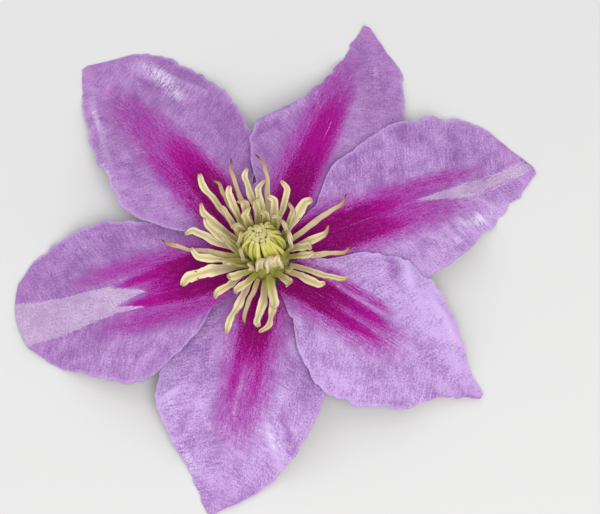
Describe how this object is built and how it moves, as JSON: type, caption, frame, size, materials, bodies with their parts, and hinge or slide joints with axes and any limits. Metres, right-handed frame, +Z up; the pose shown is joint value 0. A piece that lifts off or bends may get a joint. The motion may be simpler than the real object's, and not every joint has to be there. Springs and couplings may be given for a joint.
{
  "type": "clematis flower",
  "caption": "Picked large-flowered clematis bloom lying face up, with pale lilac tepals barred in magenta, a brush of cream stamens and a short cut stalk.",
  "frame": {"origin": "on the ground under the middle of the flower's outline", "axes": "+Z up out of the flower's face, +Y towards the pair of tepals at the back, +X towards the long tepal on the right"},
  "size_m": [0.1126, 0.1118, 0.0223],
  "materials": {
    "tepal_lilac": "satin",
    "stalk_green": "matte",
    "pistil_yellow": "satin",
    "stamen_cream": "satin",
    "stamen_green": "satin",
    "stamen_withered": "matte"
  },
  "bodies": {
    "root": {"tepal_back_left": "tepal_lilac", "tepal_back": "tepal_lilac", "tepal_right": "tepal_lilac", "tepal_front_right": "tepal_lilac", "tepal_front": "tepal_lilac", "tepal_left": "tepal_lilac", "stalk": "stalk_green", "pistil": "pistil_yellow", "stamen_outer_01": "stamen_cream", "stamen_outer_02": "stamen_withered", "stamen_outer_03": "stamen_cream", "stamen_outer_04": "stamen_withered", "stamen_outer_05": "stamen_cream", "stamen_outer_06": "stamen_cream", "stamen_outer_07": "stamen_withered", "stamen_outer_08": "stamen_cream", "stamen_outer_09": "stamen_withered", "stamen_outer_10": "stamen_withered", "stamen_outer_11": "stamen_cream", "stamen_outer_12": "stamen_cream", "stamen_outer_13": "stamen_cream", "stamen_outer_14": "stamen_withered", "stamen_outer_15": "stamen_cream", "stamen_outer_16": "stamen_cream", "stamen_outer_17": "stamen_cream", "stamen_outer_18": "stamen_withered", "stamen_outer_19": "stamen_cream", "stamen_outer_20": "stamen_cream", "stamen_outer_21": "stamen_cream", "stamen_middle_01": "stamen_cream", "stamen_middle_02": "stamen_cream", "stamen_middle_03": "stamen_cream", "stamen_middle_04": "stamen_cream", "stamen_middle_05": "stamen_cream", "stamen_middle_06": "stamen_cream", "stamen_middle_07": "stamen_cream", "stamen_middle_08": "stamen_cream", "stamen_middle_09": "stamen_cream", "stamen_middle_10": "stamen_cream", "stamen_middle_11": "stamen_cream", "stamen_middle_12": "stamen_cream", "stamen_middle_13": "stamen_cream", "stamen_middle_14": "stamen_cream", "stamen_middle_15": "stamen_cream", "stamen_middle_16": "stamen_cream", "stamen_middle_17": "stamen_cream", "stamen_middle_18": "stamen_cream", "stamen_inner_01": "stamen_green", "stamen_inner_02": "stamen_green", "stamen_inner_03": "stamen_green", "stamen_inner_04": "stamen_green", "stamen_inner_05": "stamen_green", "stamen_inner_06": "stamen_green", "stamen_inner_07": "stamen_green", "stamen_inner_08": "stamen_green", "stamen_inner_09": "stamen_green", "stamen_inner_10": "stamen_green", "stamen_inner_11": "stamen_green", "stamen_inner_12": "stamen_green"}
  },
  "joints": []
}
